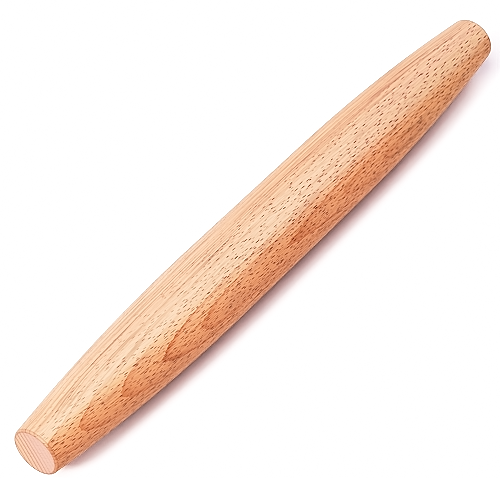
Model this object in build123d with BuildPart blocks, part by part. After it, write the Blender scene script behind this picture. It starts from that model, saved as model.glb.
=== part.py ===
"""French rolling pin, turned from a single length of beech.

The pin is one solid piece of wood, with no handles, axle or bearings. A straight barrel runs
through its middle, and on each side of it the wood falls away in one long, shallow arc to a
smaller flat end with a softened rim.

It lies along X, which is the line that it was turned about and rolls about. The origin is in the
middle of the pin, on that line, and Z points up.
"""

import os

from build123d import *

# Driving dimensions, in millimetres
pin_length = 400.0
barrel_diameter = 45.3
barrel_length = 104.0
end_diameter = 27.7
rim_rounding = 1.4

# Sizes worked out from them
half_length = pin_length / 2
half_barrel = barrel_length / 2
barrel_radius = barrel_diameter / 2
end_radius = end_diameter / 2

# Rolling pin: the outline of its upper half, spun about X
with BuildPart() as rolling_pin:
    with BuildSketch(Plane.XZ) as outline:
        with BuildLine():
            half_of_barrel = Line((0, barrel_radius), (half_barrel, barrel_radius))
            taper = TangentArc(half_of_barrel @ 1, (half_length, end_radius), tangent=half_of_barrel % 1)
            Polyline(taper @ 1, (half_length, 0), (0, 0))
            mirror(about=Plane.YZ)
        make_face()
        # The two rims are the corners furthest from the middle of the pin
        rims = outline.vertices().group_by(SortBy.DISTANCE)[-1]
        fillet(rims, radius=rim_rounding)
    revolve(axis=Axis.X)

rolling_pin.part.label = "rolling_pin"

os.makedirs("parts", exist_ok=True)
export_step(rolling_pin.part, "parts/rolling_pin.step")

print("volume in cubic millimetres:", round(rolling_pin.part.volume))
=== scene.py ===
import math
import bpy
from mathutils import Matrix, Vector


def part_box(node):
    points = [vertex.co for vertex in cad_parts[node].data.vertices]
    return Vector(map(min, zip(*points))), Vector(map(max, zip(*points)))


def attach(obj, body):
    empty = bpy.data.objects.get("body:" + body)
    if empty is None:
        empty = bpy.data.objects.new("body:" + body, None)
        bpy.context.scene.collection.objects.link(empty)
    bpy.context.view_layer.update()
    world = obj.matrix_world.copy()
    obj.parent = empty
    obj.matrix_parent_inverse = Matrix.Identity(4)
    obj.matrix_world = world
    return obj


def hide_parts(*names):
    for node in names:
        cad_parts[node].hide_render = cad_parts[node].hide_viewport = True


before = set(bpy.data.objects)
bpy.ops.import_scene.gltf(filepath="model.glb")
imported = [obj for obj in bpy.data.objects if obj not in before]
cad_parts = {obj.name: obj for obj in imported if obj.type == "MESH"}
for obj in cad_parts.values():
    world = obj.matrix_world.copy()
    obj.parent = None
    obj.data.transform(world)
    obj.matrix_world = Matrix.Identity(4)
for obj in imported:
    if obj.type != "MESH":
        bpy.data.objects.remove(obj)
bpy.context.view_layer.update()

# Blender scene of a french rolling pin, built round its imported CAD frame.
#
# The pin is one turned length of beech, so the scene has one piece, beech_pin, which stands for
# the CAD node rolling_pin. Everything is in metres, in the frame of the CAD: the pin lies along X
# with its middle at the origin, and Z points up. The photograph's near end is at -X.

from types import SimpleNamespace

import bpy
from mathutils import Matrix, Vector

MM = 0.001
scene = bpy.context.scene


# Sizes of the pin in millimetres, as in part.py
HALF_LENGTH = 200.0
HALF_BARREL = 52.0
BARREL_RADIUS = 22.65
END_RADIUS = 13.85
RIM_ROUNDING = 1.4

# Mesh density: points round the pin, and steps along each stretch of half its outline
AROUND = 256
BARREL_STEPS = 26
TAPER_STEPS = 74
RIM_STEPS = 10
FACE_STEPS = 9

# Map for baking: the turned side fills the upper part, with the two end faces as discs below it
SIDE_CORNER = (0.01, 0.18)
SIDE_SIZE = (0.98, 0.81)
LEFT_DISC = (0.1, 0.085)
RIGHT_DISC = (0.3, 0.085)
DISC_RADIUS = 0.075


def half_outline():
    """Outline of the pin's right half, from the middle of the barrel to the centre of the end.

    Each point is (x, radius, slope): x and radius in millimetres, and slope the angle in radians
    between the surface's normal and a line square to the axis.
    """
    drop = BARREL_RADIUS - END_RADIUS
    run = HALF_LENGTH - HALF_BARREL
    arc = (run * run + drop * drop) / (2 * drop)
    arc_centre = BARREL_RADIUS - arc
    rim_x = HALF_LENGTH - RIM_ROUNDING
    inner_arc = arc - RIM_ROUNDING
    rim_slope = math.asin((rim_x - HALF_BARREL) / inner_arc)
    rim_radius = arc_centre + inner_arc * math.cos(rim_slope)

    points = []
    for i in range(BARREL_STEPS):
        points.append((HALF_BARREL * i / BARREL_STEPS, BARREL_RADIUS, 0.0))
    for i in range(TAPER_STEPS):
        slope = rim_slope * i / TAPER_STEPS
        x = HALF_BARREL + arc * math.sin(slope)
        points.append((x, arc_centre + arc * math.cos(slope), slope))
    for i in range(RIM_STEPS + 1):
        slope = rim_slope + (math.pi / 2 - rim_slope) * i / RIM_STEPS
        x = rim_x + RIM_ROUNDING * math.sin(slope)
        points.append((x, rim_radius + RIM_ROUNDING * math.cos(slope), slope))
    for i in range(1, FACE_STEPS + 1):
        points.append((HALF_LENGTH, rim_radius * (1 - i / FACE_STEPS), math.pi / 2))
    return points


def make_pin(name):
    """The turned pin as one closed mesh, with its map for baking."""
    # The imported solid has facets, so the pin is drawn in to the smallest of its half widths
    low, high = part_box("rolling_pin")
    smallest = min(-low.y, high.y, -low.z, high.z) / MM
    fit = smallest / BARREL_RADIUS

    half = half_outline()
    rows = [(-x, r * fit, -slope) for x, r, slope in reversed(half[1:])]
    rows += [(x, r * fit, slope) for x, r, slope in half]

    points = []
    normals = []
    row_start = []
    for x, r, slope in rows:
        row_start.append(len(points))
        for j in range(AROUND if r > 0 else 1):
            turn = math.tau * j / AROUND
            y, z = math.sin(turn), -math.cos(turn)
            points.append((x * MM, r * y * MM, r * z * MM))
            normals.append((math.sin(slope), math.cos(slope) * y, math.cos(slope) * z))

    # Distance along the outline to each row, which sets how far apart the rows are in the map
    along = [0.0]
    for before, after in zip(rows, rows[1:]):
        along.append(along[-1] + math.hypot(after[0] - before[0], after[1] - before[1]))
    first = FACE_STEPS + RIM_STEPS
    last = len(rows) - 1 - first

    def on_side(i, j):
        share = (along[i] - along[first]) / (along[last] - along[first])
        return SIDE_CORNER[0] + SIDE_SIZE[0] * share, SIDE_CORNER[1] + SIDE_SIZE[1] * j / AROUND

    def on_end(i, j):
        left = i <= first
        centre = LEFT_DISC if left else RIGHT_DISC
        reach = along[i] if left else along[-1] - along[i]
        size = DISC_RADIUS * reach / along[first]
        turn = math.tau * j / AROUND
        return centre[0] + size * math.sin(turn), centre[1] + size * math.cos(turn)

    faces = []
    corners = []
    for i in range(len(rows) - 1):
        place = on_side if first <= i < last else on_end
        here, there = row_start[i], row_start[i + 1]
        for j in range(AROUND):
            k = (j + 1) % AROUND
            if rows[i][1] == 0:
                faces.append((here, there + k, there + j))
                corners += [place(i, j + 0.5), place(i + 1, j + 1), place(i + 1, j)]
            elif rows[i + 1][1] == 0:
                faces.append((here + j, here + k, there))
                corners += [place(i, j), place(i, j + 1), place(i + 1, j + 0.5)]
            else:
                faces.append((here + j, here + k, there + k, there + j))
                corners += [place(i, j), place(i, j + 1), place(i + 1, j + 1), place(i + 1, j)]

    mesh = bpy.data.meshes.new(name)
    mesh.from_pydata(points, [], faces)
    layer = mesh.uv_layers.new(name="OFBake")
    for loop, corner in zip(layer.data, corners):
        loop.uv = corner
    mesh.shade_smooth()
    mesh.normals_split_custom_set_from_vertices(normals)
    pin = bpy.data.objects.new(name, mesh)
    scene.collection.objects.link(pin)
    return pin


class Field:
    """A number, vector or colour at every point of a surface: a node's output, to use in sums."""

    def __init__(self, tree, socket):
        self.tree = tree
        self.socket = socket

    def feed(self, slot, value):
        """Puts value, a field or a constant, into a node's input."""
        if isinstance(value, Field):
            self.tree.links.new(value.socket, slot)
        else:
            slot.default_value = value

    def math(self, operation, *others):
        """The result of one of Blender's math operations on this field and the others."""
        node = self.tree.nodes.new("ShaderNodeMath")
        node.operation = operation
        for slot, value in zip(node.inputs, (self, *others)):
            self.feed(slot, value)
        return Field(self.tree, node.outputs[0])

    def __add__(self, other):
        return self.math("ADD", other)

    def __sub__(self, other):
        return self.math("SUBTRACT", other)

    def __mul__(self, other):
        return self.math("MULTIPLY", other)

    def __truediv__(self, other):
        return self.math("DIVIDE", other)

    def less_from(self, whole):
        """whole minus this field."""
        return (self * -1.0) + whole

    def magnitude(self):
        """This field without its sign."""
        return self.math("ABSOLUTE")

    def positive(self):
        """This field where it is above zero, and zero elsewhere."""
        return self.math("MAXIMUM", 0.0)

    def ramp(self, start, end, low=0.0, high=1.0):
        """Goes smoothly from low, where this field is start or less, to high at end."""
        node = self.tree.nodes.new("ShaderNodeMapRange")
        node.interpolation_type = "SMOOTHSTEP"
        for slot, value in zip(node.inputs, (self, start, end, low, high)):
            self.feed(slot, value)
        return Field(self.tree, node.outputs["Result"])


def vector(x, y, z):
    """A vector from three fields, of which y and z may be constants."""
    node = x.tree.nodes.new("ShaderNodeCombineXYZ")
    for slot, value in zip(node.inputs, (x, y, z)):
        x.feed(slot, value)
    return Field(x.tree, node.outputs[0])


def parts_of(field):
    """The three fields that make up a vector or colour."""
    node = field.tree.nodes.new("ShaderNodeSeparateXYZ")
    field.feed(node.inputs[0], field)
    return [Field(field.tree, output) for output in node.outputs]


def noise(places, size, detail=1.0):
    """Smooth noise from -0.5 to 0.5. Its blobs have the given size along each of three places."""
    place = vector(*[along / length for along, length in zip(places, size)])
    node = place.tree.nodes.new("ShaderNodeTexNoise")
    place.feed(node.inputs["Vector"], place)
    node.inputs["Scale"].default_value = 1.0
    node.inputs["Detail"].default_value = detail
    return Field(place.tree, node.outputs["Fac"]) - 0.5


def blend(colour, target, amount):
    """colour changed towards target by amount, a field from 0 to 1. Both colours may be fields."""
    node = amount.tree.nodes.new("ShaderNodeMix")
    node.data_type = "RGBA"
    amount.feed(node.inputs["Factor"], amount)
    first, second = [slot for slot in node.inputs if slot.type == "RGBA"]
    amount.feed(first, colour)
    amount.feed(second, target)
    result, = [slot for slot in node.outputs if slot.type == "RGBA"]
    return Field(amount.tree, result)


# The wood. Lengths are in millimetres. A ramp's numbers say where it starts and ends, and its
# values before and after, which are 0 and 1 where they aren't given. A name ending in ALONG has a
# ramp along the pin, where x goes from -200 at the near end to 200 at the far end. One ending in
# ROUND has a ramp round the pin: by how flat the surface lies to the rings, how nearly it faces
# the warm side, or how far up it faces.

# The growth rings are nearly flat sheets, square to a line that leans from Z towards -Y
RING_LEAN = math.radians(66.1)

# The n-th ring ends RING_GAP * n + RING_GROWTH * n * n below RING_START
RING_START = 21.3
RING_GAP = 2.42
RING_GROWTH = 0.02

# Above this depth the rings crowd together, with a soft start
CROWD_START = 19.3
CROWD_EASE = 3.5

# How far the sheets turn, dip, bow and shift
TWIST_NEAR_ALONG = (-215.0, -80.0, -0.17, 0.0)
TWIST_FAR_ALONG = (-20.0, 260.0, 0.0, 0.36)
DIP_ALONG = (-40.0, 320.0, 0.0, 7.4)
BOW_ALONG = (-200.0, -160.0, 0.002, 0.0085)
SHIFT_ALONG = (-200.0, -186.0, 0.4, 0.0)

# How far they wander, and the size of each kind of wave
SWAY = 0.9
SWAY_SIZE = (75.0, 30.0, 30.0)
RIPPLE = 0.25
RIPPLE_SIZE = (14.0, 3.0, 3.0)
RAGGED = 0.25
RAGGED_SIZE = (8.0, 0.7, 8.0)

# Fibres run at a slight slope to the axis, and wander
FIBRE_SLOPE = 0.05
FIBRE_WANDER = 1.2
FIBRE_WANDER_SIZE = (30.0, 10.0, 10.0)

# Side of the pin with the warmer wood, from straight up towards -Y
WARM_SIDE = math.radians(80.0)

# Keeps divisions by the radius away from zero
LEAST_RADIUS = 0.01


def place_in_log(tree):
    """Where each point of the pin lies in the log that it was turned from."""
    where = tree.nodes.new("ShaderNodeTexCoord")
    metres = Field(tree, where.outputs["Object"])
    x, y, z = [part * (1 / MM) for part in parts_of(metres)]
    radius = ((y * y) + (z * z)).math("SQRT").math("MAXIMUM", LEAST_RADIUS)

    # Place square to the ring sheets, and place along them across the pin
    straight = (y * -math.sin(RING_LEAN)) + (z * math.cos(RING_LEAN))
    across = (y * -math.cos(RING_LEAN)) - (z * math.sin(RING_LEAN))
    flow = across - (x * FIBRE_SLOPE) + (noise((x, y, z), FIBRE_WANDER_SIZE) * FIBRE_WANDER)

    # Place square to the sheets as they really run, which is the same all over a ring's edge
    twist = x.ramp(*TWIST_NEAR_ALONG) + x.ramp(*TWIST_FAR_ALONG)
    bow = across * across * x.ramp(*BOW_ALONG)
    shift = x.ramp(*SHIFT_ALONG)
    dip = x.ramp(*DIP_ALONG)
    sway = noise((x, y, z), SWAY_SIZE) * SWAY
    ripple = noise((x, y, z), RIPPLE_SIZE) * RIPPLE
    ragged = noise((x, flow, straight), RAGGED_SIZE) * RAGGED
    depth = straight + (across * twist) + bow + shift + dip + sway + ripple + ragged

    # flat and level are 1 on the flat-sawn faces and 0 on the quarter-sawn ones. level follows the
    # sheets as they turn. facing is 1 in the middle of the warm side, and height is 1 on top.
    return SimpleNamespace(
        x=x,
        y=y,
        z=z,
        radius=radius,
        straight=straight,
        across=across,
        flow=flow,
        depth=depth,
        flat=(straight / radius).magnitude(),
        level=((straight + (across * twist)) / radius).magnitude(),
        facing=((z * math.cos(WARM_SIDE)) - (y * math.sin(WARM_SIDE))) / radius,
        height=z / radius,
    )


# Start of the noise that says how dark each ring's edge is, and the least that it can be
YEAR_SEED = 6324.0
FAINTEST_YEAR = 0.25

# How sharply a ring darkens towards its edge: its last line, its late wood, its line on an end
EDGE_POWER = 6.0
LATE_POWER = 2.0
END_POWER = 3.5


def growth_rings(log):
    """The dark edge of each ring, and the late wood before it, on the side and on the ends."""
    below = log.depth.less_from(RING_START)
    root = (below * (4 * RING_GROWTH) + RING_GAP ** 2).math("SQRT")
    outer = (log.depth - CROWD_START).positive()
    crowd = ((outer * outer) + CROWD_EASE ** 2).math("SQRT") - CROWD_EASE
    ring = ((root - RING_GAP) / (2 * RING_GROWTH)) - crowd
    year = ring.math("FLOOR")
    season = ring - year

    chance = year.tree.nodes.new("ShaderNodeTexWhiteNoise")
    chance.noise_dimensions = "1D"
    year.feed(chance.inputs["W"], year + YEAR_SEED)
    weight = Field(year.tree, chance.outputs["Value"]) * (1 - FAINTEST_YEAR) + FAINTEST_YEAR
    return SimpleNamespace(
        edge=season.math("POWER", EDGE_POWER) * weight,
        late=season.math("POWER", LATE_POWER),
        on_end=season.math("POWER", END_POWER),
    )


# Sizes of the wood's small structures: along the pin, through the rings and along the rings
SHEET_SIZE = (150.0, 1.1, 30.0)
BREAK_SIZE = (40.0, 1.6, 12.0)
STRAND_SIZE = (80.0, 0.55, 9.0)
FIBRE_SIZE = (16.0, 0.5, 0.5)
FIBRE_SAWN_SIZE = (20.0, 2.5, 0.5)
SHORT_SIZE = (6.0, 0.4, 0.4)
SHORT_SAWN_SIZE = (7.0, 2.0, 0.4)
LONG_SIZE = (70.0, 1.2, 0.45)

# Slow changes of tone, with more detail than the rest
TONE_SIZE = (45.0, 14.0, 14.0)
TONE_DETAIL = 2.0

# Where the flat-sawn forms of the fibres take over, and where the quarter-sawn face is
SAWN_ROUND = (0.7, 0.95)
QUARTER_ROUND = (0.25, 0.65, 1.0, 0.0)

# Thin sheets show as lines where their noise is near zero, and break up
SHEET_LINE = (0.0, 0.07, 1.0, 0.0)
SHEET_BREAKS = (-0.12, 0.12)
LINES_ROUND = (0.5, 0.9, 1.0, 0.6)

# Long fibres show on the far half, away from the quarter-sawn face
LONG_ALONG = (-60.0, 70.0, 0.3, 1.0)
LONG_ROUND = (0.2, 0.5)

# Where the warm wood starts and is full, how far that moves, and how ragged its edge is
WARM_START_ALONG = (-150.0, 10.0, 0.56, 0.71)
WARM_FULL_ALONG = (-80.0, -20.0, 1.02, 0.975)
WARM_FAR_ALONG = (60.0, 200.0, 0.0, 0.08)
WARM_NEAR_ALONG = (-190.0, -120.0, -0.055, 0.0)
WARM_RAGGED = 0.12


def fine_grain(log):
    """Sheets thinner than a ring, strands, fibres of three lengths, tone and the warm wood."""
    places = (log.x, log.depth, log.flow)
    sheets = noise(places, SHEET_SIZE)
    broken = noise(places, BREAK_SIZE).ramp(*SHEET_BREAKS)
    lines = sheets.magnitude().ramp(*SHEET_LINE) * broken * log.flat.ramp(*LINES_ROUND)

    sawn = log.level.ramp(*SAWN_ROUND)
    fibre = noise(places, FIBRE_SIZE)
    fibre = fibre + ((noise(places, FIBRE_SAWN_SIZE) - fibre) * sawn)
    short = noise(places, SHORT_SIZE)
    short = short + ((noise(places, SHORT_SAWN_SIZE) - short) * sawn)
    long = noise(places, LONG_SIZE) * log.x.ramp(*LONG_ALONG) * log.flat.ramp(*LONG_ROUND)

    fade = log.x.ramp(*WARM_FAR_ALONG) + log.x.ramp(*WARM_NEAR_ALONG)
    toward = log.facing - fade + (fibre * WARM_RAGGED)
    return SimpleNamespace(
        sheets=sheets,
        lines=lines,
        strand=noise(places, STRAND_SIZE),
        fibre=fibre,
        short=short,
        long=long,
        tone=noise((log.x, log.y, log.z), TONE_SIZE, TONE_DETAIL),
        quarter=log.flat.ramp(*QUARTER_ROUND),
        warm=toward.ramp(log.x.ramp(*WARM_START_ALONG), log.x.ramp(*WARM_FULL_ALONG)),
    )


# How far along the grain each row of flecks is set back from the next, as a share of their distance
FLECK_STAGGER = 3.04

# How unevenly flecks are placed and how soft their edges are, and the shortest and palest of them
# as a share of the longest and darkest
FLECK_SCATTER = 0.75
FLECK_EDGE = (0.6, 1.1, 1.0, 0.0)
FLECK_SHORTEST = 0.5
FLECK_PALEST = 0.55

# Rows of flecks run at a slope to the pin, and wander
FLECK_SLOPE = 0.06
FLECK_WANDER = 1.4
FLECK_WANDER_SIZE = (25.0, 9.0, 9.0)

# Share of the cells with a fleck
DENSE_ROUND = (0.3, 1.0, 0.42, 0.87)

# Bold flecks: their grid, half lengths and half width, and how strong they are where
BOLD_CELL = (8.6, 1.35)
BOLD_LENGTH_ALONG = (20.0, 160.0, 1.85, 2.4)
BOLD_WIDTH = 0.22
BOLD_SEED = 3.7
BOLD_FLAT_ROUND = (0.12, 0.5)
BOLD_NEAR_ALONG = (-100.0, 0.0, 0.72, 1.0)
BOLD_WARM_ROUND = (0.3, 0.95)
BOLD_MIDDLE_ALONG = (-150.0, -20.0, 0.3, 1.0)

# Faint flecks, the same
FAINT_CELL = (6.1, 1.15)
FAINT_LENGTH = 1.45
FAINT_WIDTH = 0.175
FAINT_SEED = 8.1
FAINT_FLAT_ROUND = (-0.05, 0.4, 0.3, 1.0)
FAINT_ALONG = (20.0, 160.0, 1.0, 0.7)


def flecks(x, across, cell, longest, width, kept, seed):
    """Ends of the wood's rays: dashes along the grain, in some of the cells of a loose grid.

    cell is the grid's spacing along the grain and across it. longest and width are half the size
    of the largest dash, in millimetres, and kept is the share of the cells that have a dash.
    longest and kept may be fields.
    """
    staggered = x - (across * FLECK_STAGGER)
    place = vector((staggered / cell[0]) + seed, (across / cell[1]) + seed, 0.0)
    node = x.tree.nodes.new("ShaderNodeTexVoronoi")
    node.voronoi_dimensions = "2D"
    place.feed(node.inputs["Vector"], place)
    node.inputs["Scale"].default_value = 1.0
    node.inputs["Randomness"].default_value = FLECK_SCATTER
    middle = parts_of(Field(x.tree, node.outputs["Position"]))
    chance, size, strength = parts_of(Field(x.tree, node.outputs["Color"]))
    here = parts_of(place)

    length = size * (longest * (1 - FLECK_SHORTEST)) + longest * FLECK_SHORTEST
    offset = (here[1] - middle[1]) * cell[1]
    along = ((here[0] - middle[0]) * cell[0] + (offset * FLECK_STAGGER)) / length
    aside = offset / width
    shape = ((along * along) + (aside * aside)).ramp(*FLECK_EDGE)
    there = chance.math("LESS_THAN", kept)
    return shape * there * (strength * (1 - FLECK_PALEST) + FLECK_PALEST)


def ray_ends(log):
    """Bold and faint flecks, where the wood's rays come out on the side."""
    x = log.x
    arc = (log.across / log.radius).math("ARCSINE") * log.radius - (x * FLECK_SLOPE)
    arc = arc + (noise((x, log.y, log.z), FLECK_WANDER_SIZE) * FLECK_WANDER)
    dense = log.facing.ramp(*DENSE_ROUND)

    shown = log.flat.ramp(*BOLD_FLAT_ROUND) * x.ramp(*BOLD_NEAR_ALONG)
    strength = log.facing.ramp(*BOLD_WARM_ROUND) + x.ramp(*BOLD_MIDDLE_ALONG)
    shown = shown * strength.math("MINIMUM", 1.0)
    longest = x.ramp(*BOLD_LENGTH_ALONG)
    bold = flecks(x, arc, BOLD_CELL, longest, BOLD_WIDTH, dense, BOLD_SEED)

    faint = flecks(x, arc, FAINT_CELL, FAINT_LENGTH, FAINT_WIDTH, dense, FAINT_SEED)
    faint = faint * log.flat.ramp(*FAINT_FLAT_ROUND) * x.ramp(*FAINT_ALONG)
    return bold * shown, faint


# Colours of the side
PALE = (0.54, 0.368, 0.265, 1.0)
PINK = (0.506, 0.308, 0.22, 1.0)
ORANGE = (0.522, 0.262, 0.128, 1.0)
GOLD = (0.42, 0.41, 0.15, 1.0)
RING_BROWN = (0.38, 0.125, 0.032, 1.0)
LINE_BROWN = (0.17, 0.115, 0.075, 1.0)
STREAK_BROWN = (0.2, 0.165, 0.115, 1.0)
STREAK_RUST = (0.24, 0.088, 0.012, 1.0)
STREAK_LIGHT = (0.74, 0.44, 0.31, 1.0)
STREAK_ORANGE = (0.66, 0.34, 0.19, 1.0)
FLECK_BROWN = (0.05, 0.009, 0.0, 1.0)

# Pink wood: towards the far end, and on the quarter-sawn face
PINK_ALONG = (-60.0, 150.0, 0.0, 0.85)
PINK_ROUND = (0.2, 0.85, 1.0, 0.0)

# Light patches, and late wood on the warm side and elsewhere
TONE_AMOUNT = 0.8
LATE_WARM = 0.14
LATE_PALE = 0.03

# The rings' edges: as arches on the flat-sawn face, and as lines on the quarter-sawn one
ARCH_ROUND = (0.82, 0.985, 0.08, 1.1)
ARCH_ALONG = (60.0, 190.0, 1.0, 0.6)
EDGE_LINE_ROUND = (0.3, 0.9, 0.5, 0.06)
SHEET_LINE_ROUND = (0.3, 0.6, 0.6, 0.35)

# Browner stretches of the quarter-sawn face: its middle, and its near end
SHADE_START_ALONG = (-60.0, 40.0)
SHADE_END_ALONG = (110.0, 180.0, 1.0, 0.0)
SHADE_NEAR_ALONG = (-200.0, -130.0, 0.5, 0.0)
SHADE_AMOUNT = 0.15

# Painted shade on the underside and the warm side's upper part; browner near end of the warm side
UNDER_SHADE_ROUND = (-0.3, -0.05, 1.0, 0.0)
UNDER_SHADE_ALONG = (-160.0, -120.0)
UNDER_SHADE_AMOUNT = 0.08
NEAR_BROWN_ALONG = (-200.0, -90.0, 0.15, 0.0)
UPPER_SHADE_ROUND = (0.2, 0.45)
UPPER_SHADE_START_ALONG = (-80.0, -20.0)
UPPER_SHADE_END_ALONG = (90.0, 140.0, 1.0, 0.0)
UPPER_SHADE_AMOUNT = 0.08

# Yellower far end
GOLD_ROUND = (0.45, 0.75)
GOLD_ALONG = (60.0, 150.0, 0.0, 0.12)

# How strongly streaks lighten the wood, and the flecks darken it
STREAK_LIGHT_AMOUNT = 0.5
FAINT_AMOUNT = 0.6
BOLD_AMOUNT = 0.98


def side_colour(log, rings, grain, streaks, bold, faint):
    """Colour of the turned side, built up in thin layers."""
    x = log.x
    warm = grain.warm
    light = blend(STREAK_LIGHT, STREAK_ORANGE, warm)
    dark = blend(STREAK_BROWN, STREAK_RUST, warm)

    arches = log.level.ramp(*ARCH_ROUND) * x.ramp(*ARCH_ALONG)
    middle = x.ramp(*SHADE_START_ALONG) * x.ramp(*SHADE_END_ALONG)
    shade = grain.quarter * (middle + x.ramp(*SHADE_NEAR_ALONG))
    # Painted shade: darkens the underside where it faces down
    under_painted_shade = log.height.ramp(*UNDER_SHADE_ROUND) * x.ramp(*UNDER_SHADE_ALONG)
    # Painted shade: darkens the warm side's upper part by how far it faces up
    upper_painted_shade = warm * log.height.ramp(*UPPER_SHADE_ROUND)
    upper_painted_shade = upper_painted_shade * x.ramp(*UPPER_SHADE_START_ALONG) * x.ramp(*UPPER_SHADE_END_ALONG)

    layers = (
        (PINK, x.ramp(*PINK_ALONG).math("MAXIMUM", log.flat.ramp(*PINK_ROUND))),
        (ORANGE, warm),
        (light, (grain.tone * TONE_AMOUNT).positive()),
        (RING_BROWN, rings.late * (warm * LATE_WARM + LATE_PALE)),
        (RING_BROWN, rings.edge * arches),
        (LINE_BROWN, rings.edge * log.flat.ramp(*EDGE_LINE_ROUND)),
        (LINE_BROWN, grain.lines * log.flat.ramp(*SHEET_LINE_ROUND)),
        # Browner stretches of the quarter-sawn face, and painted shade on the underside
        (RING_BROWN, (shade * SHADE_AMOUNT) + (under_painted_shade * UNDER_SHADE_AMOUNT)),
        (LINE_BROWN, warm * x.ramp(*NEAR_BROWN_ALONG)),
        # Painted shade on the warm side's upper part
        (LINE_BROWN, upper_painted_shade * UPPER_SHADE_AMOUNT),
        (GOLD, log.facing.ramp(*GOLD_ROUND) * x.ramp(*GOLD_ALONG)),
        (dark, streaks.positive()),
        (light, (streaks * -STREAK_LIGHT_AMOUNT).positive()),
        (FLECK_BROWN, faint * FAINT_AMOUNT),
        (FLECK_BROWN, bold * BOLD_AMOUNT),
    )
    side = PALE
    for target, amount in layers:
        side = blend(side, target, amount)
    return side


# Strength of each kind of fibre on the flat-sawn face, and its change on the quarter-sawn one
FIBRE_STREAK = 1.5
FIBRE_CHANGE = -0.9
SHORT_STREAK = 1.3
SHORT_CHANGE = -0.5

# Strength of the strands and sheets, which streak the quarter-sawn face only
STRAND_STREAK = 2.0
SHEET_STREAK = 1.6

# Strength of the long fibres
LONG_STREAK = 0.9

# Strength of all the shorter streaks: at least, and more on each side that has more of them
LEAST_STREAKS = 0.47
WARM_STREAKS = 0.4
LOW_STREAKS = 0.45
QUARTER_STREAKS = 0.2
LOW_ROUND = (-0.2, 0.4, 1.0, 0.0)
STREAKS_NEAR_ALONG = (-120.0, -20.0, 0.85, 1.0)
STREAKS_QUARTER_ALONG = (-200.0, -130.0, -0.35, 0.0)
STREAKS_FAR_ALONG = (60.0, 180.0, 1.0, 0.85)


def hair_streaks(log, grain):
    """Streaks along the grain, above zero where they are dark and below it where they are light."""
    x = log.x
    quarter = grain.quarter
    streaks = grain.fibre * (quarter * FIBRE_CHANGE + FIBRE_STREAK)
    streaks = streaks + (grain.short * (quarter * SHORT_CHANGE + SHORT_STREAK))
    streaks = streaks + (grain.strand * quarter * STRAND_STREAK)
    streaks = streaks + (grain.sheets * quarter * SHEET_STREAK)

    low = log.height.ramp(*LOW_ROUND)
    strength = (grain.warm * WARM_STREAKS) + (low * LOW_STREAKS) + (quarter * QUARTER_STREAKS)
    streaks = streaks * (strength + LEAST_STREAKS)
    calm = quarter * x.ramp(*STREAKS_QUARTER_ALONG) + 1.0
    streaks = streaks * x.ramp(*STREAKS_NEAR_ALONG) * calm * x.ramp(*STREAKS_FAR_ALONG)
    return streaks + (grain.long * LONG_STREAK)


# Colours of the end grain, and of the rim: darker end grain on the rounding, and painted shade
END_GRAIN = (0.366, 0.226, 0.186, 1.0)
END_PALE = (0.41, 0.245, 0.16, 1.0)
END_LINE = (0.2, 0.1, 0.06, 1.0)
RIM_GRAIN_AND_SHADE_BROWN = (0.15, 0.07, 0.045, 1.0)

# Sizes of the rays and pores on the end, and how dark they are
END_RAY_SIZE = (40.0, 0.55, 9.0)
END_RAYS = 0.7
PORE_SIZE = (3.0, 0.25, 0.25)
END_PORES = 0.9

# By depth: how dark the rings' lines are. By place square to the rings: how pale the wood is.
END_LINE_DEPTH = (-3.0, 7.0, 0.78, 0.15)
END_PALE_PLACE = (-12.0, 4.0, 0.5, 0.0)

# By radius: darkening towards the end's edge, the end itself, and the rim, which starts and fades
END_EDGE_DARKENING_RADIUS = (10.5, 13.5)
END_EDGE_DARKENING = 0.15
END_FACE_RADIUS = (12.4, 12.9, 1.0, 0.0)
RIM_START_RADIUS = (12.3, 12.7)
RIM_FADE_RADIUS = (12.9, 13.5, 1.0, 0.7)
RIM_GRAIN_AND_SHADE_AMOUNT = 0.55

# By distance from the middle of the pin: the rim
RIM_REACH = (HALF_LENGTH - 1.5, HALF_LENGTH - 1.0)


def end_colour(log, rings, pores):
    """Colour of the end grain: the same rings, with rays running straight across them."""
    rays = noise((log.x, log.across, log.depth), END_RAY_SIZE)
    grey = (rays * END_RAYS + pores * END_PORES).positive()
    # Darker towards the edge of the end
    grey = grey + log.radius.ramp(*END_EDGE_DARKENING_RADIUS) * END_EDGE_DARKENING
    cut = blend(END_GRAIN, END_PALE, log.straight.ramp(*END_PALE_PLACE))
    cut = blend(cut, END_LINE, rings.on_end * log.depth.ramp(*END_LINE_DEPTH))
    return blend(cut, END_LINE, grey)


# Roughness of the wood, and what adds to it
ROUGHNESS = 0.55
FIBRE_ROUGH = 0.16
TONE_ROUGH = 0.12
END_ROUGH = 0.12
FLECK_ROUGH = 0.1
SPECULAR = 0.12

# Relief: how deep each thing is cut, as a share of the relief's full depth in metres
RELIEF_DEPTH = 0.05 * MM
RELIEF_STRENGTH = 0.35
FIBRE_RELIEF = 0.5
SHORT_RELIEF = 0.5
FLECK_RELIEF = 0.9
EDGE_RELIEF = 0.2


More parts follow.
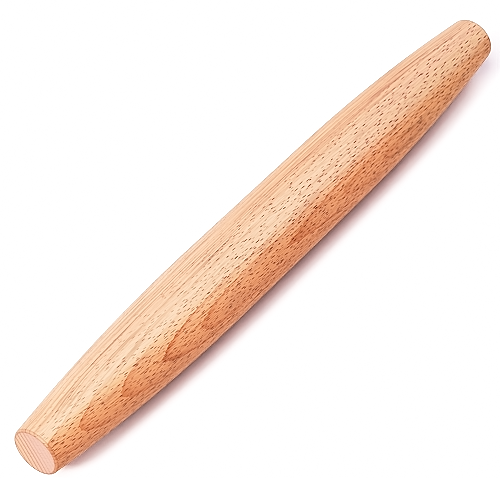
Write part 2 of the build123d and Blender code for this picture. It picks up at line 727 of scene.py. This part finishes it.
def beech():
    """Solid beech. Every point's look comes from its place in the log, so ends and side agree."""
    material = bpy.data.materials.new("beech")
    material.use_nodes = True
    tree = material.node_tree
    shader = tree.nodes["Principled BSDF"]

    log = place_in_log(tree)
    rings = growth_rings(log)
    grain = fine_grain(log)
    bold, faint = ray_ends(log)
    streaks = hair_streaks(log, grain)
    pores = noise((log.x, log.y, log.z), PORE_SIZE)

    end = log.radius.ramp(*END_FACE_RADIUS)
    # The rim is partly the darker end grain of the rounding and partly painted shade
    rim_grain_and_shade = log.radius.ramp(*RIM_START_RADIUS) * log.radius.ramp(*RIM_FADE_RADIUS)
    rim_grain_and_shade = rim_grain_and_shade * log.x.magnitude().ramp(*RIM_REACH)
    side = side_colour(log, rings, grain, streaks, bold, faint)
    colour = blend(side, end_colour(log, rings, pores), end)
    # Painted shade and darker end grain on the rounded rim
    colour = blend(colour, RIM_GRAIN_AND_SHADE_BROWN, rim_grain_and_shade * RIM_GRAIN_AND_SHADE_AMOUNT)
    tree.links.new(colour.socket, shader.inputs["Base Color"])

    rough = (grain.fibre * FIBRE_ROUGH) + (grain.tone * TONE_ROUGH) + (end * END_ROUGH)
    rough = rough + (bold * FLECK_ROUGH) + ROUGHNESS
    tree.links.new(rough.socket, shader.inputs["Roughness"])
    shader.inputs["Specular IOR Level"].default_value = SPECULAR

    relief = (grain.fibre * -FIBRE_RELIEF) - (grain.short * SHORT_RELIEF)
    relief = relief - (bold * FLECK_RELIEF) - (rings.edge * EDGE_RELIEF) + (pores * end)
    bump = tree.nodes.new("ShaderNodeBump")
    bump.inputs["Strength"].default_value = RELIEF_STRENGTH
    bump.inputs["Distance"].default_value = RELIEF_DEPTH
    tree.links.new(relief.socket, bump.inputs["Height"])
    tree.links.new(bump.outputs["Normal"], shader.inputs["Normal"])
    return material


pin = make_pin("beech_pin")
pin.data.materials.append(beech())
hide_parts("rolling_pin")
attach(pin, "root")


# Floor: a wide sheet of plain white paper that the pin lies on, reaching this far in metres
FLOOR_REACH = 12.0
PAPER_WHITE = (0.91, 0.91, 0.91, 1.0)
PAPER_ROUGHNESS = 0.9


def add_floor():
    mesh = bpy.data.meshes.new("floor")
    side = FLOOR_REACH
    square = [(-side, -side, 0), (side, -side, 0), (side, side, 0), (-side, side, 0)]
    mesh.from_pydata(square, [], [(0, 1, 2, 3)])
    floor = bpy.data.objects.new("floor", mesh)
    floor.location.z = -BARREL_RADIUS * MM
    scene.collection.objects.link(floor)
    paper = bpy.data.materials.new("paper")
    paper.use_nodes = True
    shader = paper.node_tree.nodes["Principled BSDF"]
    shader.inputs["Base Color"].default_value = PAPER_WHITE
    shader.inputs["Roughness"].default_value = PAPER_ROUGHNESS
    shader.inputs["Specular IOR Level"].default_value = 0.0
    mesh.materials.append(paper)


# Soft lights: name, where each stands from the pin, strength, colour and width in degrees
WHITE = (1.0, 1.0, 1.0)
PEACH = (1.05, 0.8, 0.68)
LIGHTS = (
    ("low", (-1.58, 0.08, 1.0), 3.2, WHITE, 12.0),
    ("key", (-0.75, -0.07, 1.0), 3.2, WHITE, 42.0),
    ("far", (1.2, 0.15, 1.0), 0.9, WHITE, 36.0),
    ("behind", (0.1, 1.0, 0.15), 1.6, WHITE, 30.0),
    ("fill", (0.0, -1.0, 0.5), 0.27, PEACH, 60.0),
)


def add_sun(name, toward, strength, colour, spread):
    """A soft light from the direction toward, with an angular size of spread degrees."""
    data = bpy.data.lights.new(name, "SUN")
    data.energy = strength
    data.color = colour
    data.angle = math.radians(spread)
    sun = bpy.data.objects.new(name, data)
    sun.rotation_mode = "QUATERNION"
    sun.rotation_quaternion = Vector(toward).to_track_quat("Z", "Y")
    scene.collection.objects.link(sun)


# Light from all round, and the studio behind the floor
SKY_COLOUR = (1.12, 0.86, 1.12, 1.0)
SKY_STRENGTH = 0.34
BACKDROP_COLOUR = (1.0, 1.0, 1.0, 1.0)
BACKDROP_STRENGTH = 1.4


def add_sky():
    """Faint light from all round. Seen beyond the floor's far edge, the studio is plain white."""
    world = bpy.data.worlds.new("studio")
    world.use_nodes = True
    tree = world.node_tree
    sky = tree.nodes["Background"]
    sky.inputs["Color"].default_value = SKY_COLOUR
    sky.inputs["Strength"].default_value = SKY_STRENGTH
    backdrop = tree.nodes.new("ShaderNodeBackground")
    backdrop.inputs["Color"].default_value = BACKDROP_COLOUR
    backdrop.inputs["Strength"].default_value = BACKDROP_STRENGTH
    path = tree.nodes.new("ShaderNodeLightPath")
    pick = tree.nodes.new("ShaderNodeMixShader")
    tree.links.new(path.outputs["Is Camera Ray"], pick.inputs[0])
    tree.links.new(sky.outputs[0], pick.inputs[1])
    tree.links.new(backdrop.outputs[0], pick.inputs[2])
    tree.links.new(pick.outputs[0], tree.nodes["World Output"].inputs["Surface"])
    scene.world = world


# Camera, solved from the pin's edges in the photograph
CAMERA_AT = Vector((-706.606, -499.211, 810.638)) * MM
CAMERA_RIGHT = Vector((0.589632, -0.807672, 0.0))
CAMERA_UP = Vector((0.555833, 0.405780, 0.725529))
LENS_MM = 158.436
SENSOR_MM = 36.0

# Nearest and farthest that it sees, in metres
CAMERA_NEAR = 0.01
CAMERA_FAR = 100.0


def add_camera():
    data = bpy.data.cameras.new("camera")
    data.lens = LENS_MM
    data.sensor_width = SENSOR_MM
    data.sensor_fit = "HORIZONTAL"
    data.clip_start = CAMERA_NEAR
    data.clip_end = CAMERA_FAR
    camera = bpy.data.objects.new("camera", data)
    turn = Matrix((CAMERA_RIGHT, CAMERA_UP, CAMERA_RIGHT.cross(CAMERA_UP))).transposed()
    camera.matrix_world = Matrix.Translation(CAMERA_AT) @ turn.to_4x4()
    scene.collection.objects.link(camera)
    scene.camera = camera


add_floor()
for light in LIGHTS:
    add_sun(*light)
add_sky()
add_camera()


# The photograph's tone, as (light in, light out): a gentle toe, and a shoulder that keeps the lit
# wood short of white. The last light in is white.
TONE = (
    (0.0, 0.0),
    (0.175, 0.12),
    (0.325, 0.27),
    (0.40, 0.36),
    (0.61, 0.64),
    (0.94, 0.91),
    (1.3, 1.0),
)

# The photograph's crispness, and how far its colours run into each other, in pixels
SHARPNESS = 0.5
COLOUR_SOFTNESS = 3.0

# Steps of light that look even to the eye
SCREEN_GAMMA = 2.2


def set_finish():
    """The photograph's finish: crisp in its lightness, with colours that run softly together."""
    scene.view_settings.view_transform = "Standard"
    scene.view_settings.look = "None"
    scene.use_nodes = True
    tree = scene.node_tree
    tree.nodes.clear()

    def add(kind, source, **settings):
        node = tree.nodes.new("CompositorNode" + kind)
        for name, value in settings.items():
            setattr(node, name, value)
        if source:
            tree.links.new(source, node.inputs["Image"])
        return node

    # Nothing is whiter than white paper
    layers = add("RLayers", None)
    white = TONE[-1][0]
    limit = add("MixRGB", layers.outputs["Image"], blend_type="DARKEN")
    limit.inputs[2].default_value = (white, white, white, 1.0)
    tone = add("CurveRGB", limit.outputs["Image"])
    tone.inputs["White Level"].default_value = (white, white, white, 1.0)
    points = tone.mapping.curves[3].points
    for level, shown in TONE[1:-1]:
        points.new(level / white, shown)
    tone.mapping.update()

    # Lightness is made crisper and the two parts of colour softer, each by itself
    even = add("Gamma", tone.outputs["Image"])
    even.inputs["Gamma"].default_value = 1 / SCREEN_GAMMA
    apart = add("SeparateColor", even.outputs["Image"], mode="YCC", ycc_mode="ITUBT709")
    crisp = add("Filter", apart.outputs[0], filter_type="SHARPEN_DIAMOND")
    crisp.inputs["Fac"].default_value = SHARPNESS
    together = add("CombineColor", None, mode="YCC", ycc_mode="ITUBT709")
    tree.links.new(crisp.outputs["Image"], together.inputs[0])
    for i in (1, 2):
        soft = add("Blur", apart.outputs[i], filter_type="GAUSS")
        soft.inputs["Size"].default_value = (COLOUR_SOFTNESS, COLOUR_SOFTNESS)
        tree.links.new(soft.outputs["Image"], together.inputs[i])
    back = add("Gamma", together.outputs["Image"])
    back.inputs["Gamma"].default_value = SCREEN_GAMMA
    add("Composite", back.outputs["Image"])


set_finish()

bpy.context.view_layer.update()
